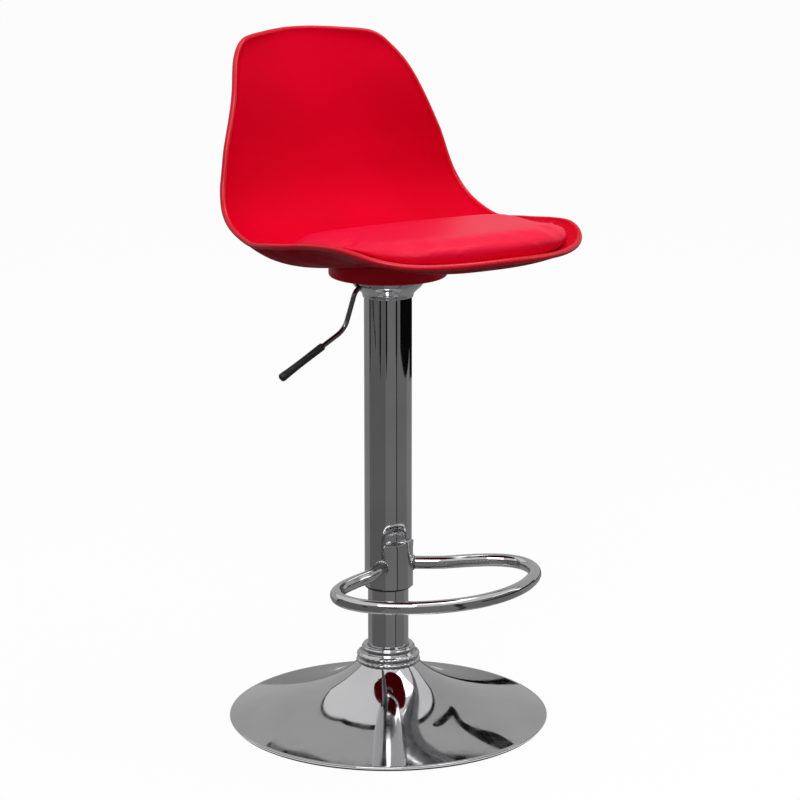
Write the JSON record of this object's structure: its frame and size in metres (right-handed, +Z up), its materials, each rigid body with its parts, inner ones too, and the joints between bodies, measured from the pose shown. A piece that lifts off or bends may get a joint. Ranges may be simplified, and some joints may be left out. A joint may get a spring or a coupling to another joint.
{
  "type": "diner counter stool",
  "caption": "Height-adjustable swivel counter stool with a moulded bucket seat and pad, gas-lift chrome column, foot ring and round trumpet base.",
  "frame": {"origin": "on the column's axis at the floor, at the centre of the hub plug's flat underside", "axes": "+Z up along the column; -Y the way the sitter faces; +X the sitter's left, so the lever is on -X"},
  "size_m": [0.395, 0.4615, 0.8391],
  "materials": {
    "chrome": "polished chrome plate",
    "shell_plastic": "fine matte moulded plastic, red",
    "pad_cover": "soft leatherette, red",
    "cover_plastic": "matte moulded plastic, dark red",
    "black_rubber": "matte rubber",
    "black_plastic": "satin moulded plastic",
    "grey_plastic": "acetal bearing plastic",
    "zinc_steel": "bright zinc plate",
    "cast_iron": "rough grey casting",
    "black_steel": "black enamel",
    "brass": "turned brass"
  },
  "bodies": {
    "base": {"base_cover": "chrome", "floor_ring": "black_rubber", "bottom_plate": "zinc_steel", "ballast_disc": "cast_iron", "hub_cap": "black_plastic", "base_bolt_1": "zinc_steel", "base_bolt_2": "zinc_steel", "base_bolt_3": "zinc_steel", "base_bolt_4": "zinc_steel", "base_collar": "chrome", "lower_column": "chrome", "column_bush": "grey_plastic", "bearing_washer_lower": "zinc_steel", "bearing_race": "zinc_steel"},
    "rod": {"bearing_washer_upper": "zinc_steel", "rod_washer": "zinc_steel", "rod_clip": "zinc_steel", "piston_rod": "zinc_steel", "piston": "black_plastic", "rod_bumper": "black_rubber"},
    "seat": {"gas_cylinder": "black_steel", "cover_tube": "chrome", "tube_guide": "black_plastic", "tube_spacer": "grey_plastic", "top_cup": "chrome", "foot_saddle": "chrome", "foot_ring": "chrome", "seat_bracket": "zinc_steel", "lever_pin": "zinc_steel", "seat_disc": "cover_plastic", "seat_bolt_1": "zinc_steel", "seat_bolt_2": "zinc_steel", "seat_bolt_3": "zinc_steel", "seat_bolt_4": "zinc_steel", "seat_washer_1": "zinc_steel", "seat_washer_2": "zinc_steel", "seat_washer_3": "zinc_steel", "seat_washer_4": "zinc_steel", "seat_insert_1": "brass", "seat_insert_2": "brass", "seat_insert_3": "brass", "seat_insert_4": "brass", "seat_shell": "shell_plastic", "seat_cushion": "pad_cover"},
    "lever": {"lever_rod": "chrome", "lever_grip": "black_plastic"},
    "valve": {"valve_pin": "zinc_steel"}
  },
  "joints": [
    {"name": "swivel", "type": "hinge", "parent": "base", "child": "rod", "pos_m": [0, 0, 0], "axis": [0, 0, 1], "continuous": true},
    {"name": "seat_lift", "type": "slide", "parent": "rod", "child": "seat", "axis": [0, 0, 1], "range_m": [-0.05, 0.16]},
    {"name": "lever_pull", "type": "hinge", "parent": "seat", "child": "lever", "pos_m": [-0.0235, 0, 0.5474], "axis": [0, 1, 0], "range_deg": [0, 6], "stiffness_Nm_per_rad": 3},
    {"name": "valve_press", "type": "slide", "parent": "seat", "child": "valve", "axis": [0, 0, 1], "range_m": [-0.0026, 0]}
  ],
  "couplings": [
    {"joint": "valve_press", "follows": "lever_pull", "m_per_rad": -0.0235}
  ]
}
